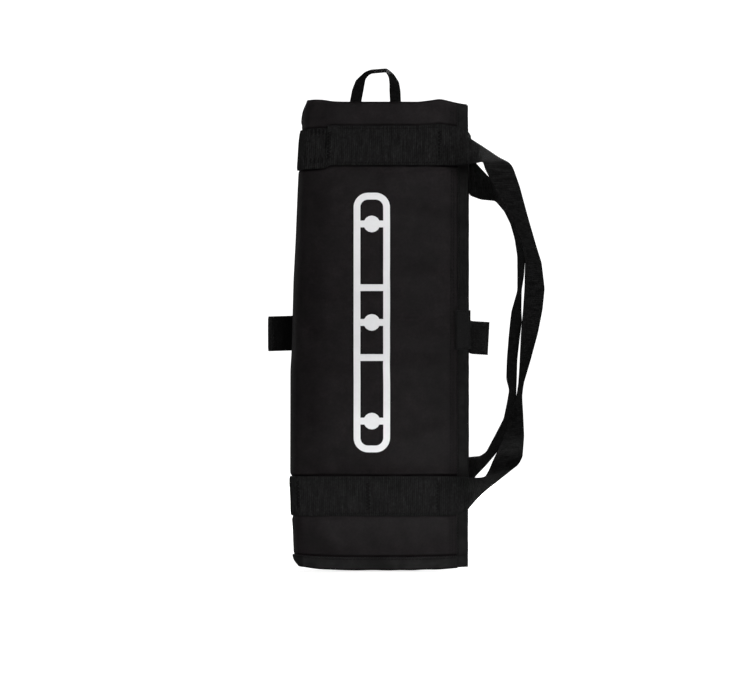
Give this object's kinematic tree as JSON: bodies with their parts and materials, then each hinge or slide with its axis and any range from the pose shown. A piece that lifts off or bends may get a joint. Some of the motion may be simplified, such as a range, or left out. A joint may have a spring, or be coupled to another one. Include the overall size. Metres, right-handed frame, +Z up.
{
  "type": "padded carry wrap",
  "caption": "Flat padded fabric wrap for hockey sticks and gear, folded round a soft spine, with webbing carry handles, a hanging loop and a hook-and-loop closing tab.",
  "frame": {"origin": "middle of the underside of the closed wrap's whole box, handles and tabs included; the middle of the covers' bottom hem is 26 mm from it towards -X", "axes": "+Z up from the bottom hem to the hanging loop, -Y out of the front cover, +X towards the opening and handles"},
  "size_m": [0.266, 0.0719, 0.4847],
  "materials": {
    "cover_fabric": "satin",
    "lining_fabric": "matte",
    "foam": "matte",
    "webbing": "matte",
    "binding_tape": "matte",
    "hook_tape": "matte",
    "loop_tape": "matte",
    "thread": "matte",
    "print": "satin"
  },
  "bodies": {
    "rear_cover": {"rear_outer_panel": "cover_fabric", "rear_foam_sheet": "foam", "rear_lining": "lining_fabric", "rear_edge_binding": "binding_tape", "rear_hem_binding": "binding_tape", "rear_tape_seam": "thread", "rear_upper_strap": "webbing", "rear_upper_tacks": "thread", "rear_lower_strap": "webbing", "rear_lower_tacks": "thread", "rear_hook_tape": "hook_tape", "girth_strap": "webbing", "girth_strap_tacks": "thread"},
    "spine": {"spine_fabric": "cover_fabric", "spine_lining": "lining_fabric", "upper_strap_wrap": "webbing", "lower_strap_wrap": "webbing"},
    "front_cover": {"front_outer_panel": "cover_fabric", "front_foam_sheet": "foam", "front_lining": "lining_fabric", "front_edge_binding": "binding_tape", "front_hem_binding": "binding_tape", "front_tape_seam": "thread", "front_upper_strap": "webbing", "front_upper_tacks": "thread", "front_lower_strap": "webbing", "front_lower_tacks": "thread", "front_loop_tape": "loop_tape", "closure_loop_patch": "loop_tape", "rink_print": "print"},
    "front_handle": {"front_handle": "webbing"},
    "rear_handle": {"rear_handle": "webbing"},
    "hanging_loop": {"hanging_loop": "webbing"},
    "closure_tab": {"closure_tab": "webbing", "closure_hook_pad": "hook_tape"},
    "pull_tab": {"pull_tab": "webbing"}
  },
  "joints": [
    {"name": "spine_fold", "type": "hinge", "parent": "rear_cover", "child": "spine", "pos_m": [-0.10885, 0.00985, 0.226], "axis": [0, 0, -1], "range_deg": [0, 88], "stiffness_Nm_per_rad": 0.05},
    {"name": "cover_open", "type": "hinge", "parent": "spine", "child": "front_cover", "pos_m": [-0.10885, -0.00985, 0.226], "axis": [0, 0, -1], "range_deg": [0, 88], "stiffness_Nm_per_rad": 0.05},
    {"name": "front_handle_swing", "type": "hinge", "parent": "front_cover", "child": "front_handle", "pos_m": [0.032, -0.009, 0.241], "axis": [0, 0, -1], "range_deg": [0, 120], "stiffness_Nm_per_rad": 0.1},
    {"name": "rear_handle_swing", "type": "hinge", "parent": "rear_cover", "child": "rear_handle", "pos_m": [0.032, 0.009, 0.241], "axis": [0, 0, 1], "range_deg": [0, 120], "stiffness_Nm_per_rad": 0.1},
    {"name": "hanging_loop_tilt", "type": "hinge", "parent": "front_cover", "child": "hanging_loop", "pos_m": [-0.0295, -0.009, 0.4526], "axis": [1, 0, 0], "range_deg": [-75, 75], "stiffness_Nm_per_rad": 0.005},
    {"name": "closure_tab_fold", "type": "hinge", "parent": "rear_cover", "child": "closure_tab", "pos_m": [0.0615, -0.0017, 0.224], "axis": [0, 0, -1], "range_deg": [0, 178], "stiffness_Nm_per_rad": 0.005},
    {"name": "pull_tab_fold", "type": "hinge", "parent": "rear_cover", "child": "pull_tab", "pos_m": [-0.102, 0.0145, 0.228], "axis": [0, 0, -1], "range_deg": [0, 120], "stiffness_Nm_per_rad": 0.005}
  ],
  "couplings": [
    {"joint": "cover_open", "follows": "spine_fold", "ratio": 1}
  ]
}
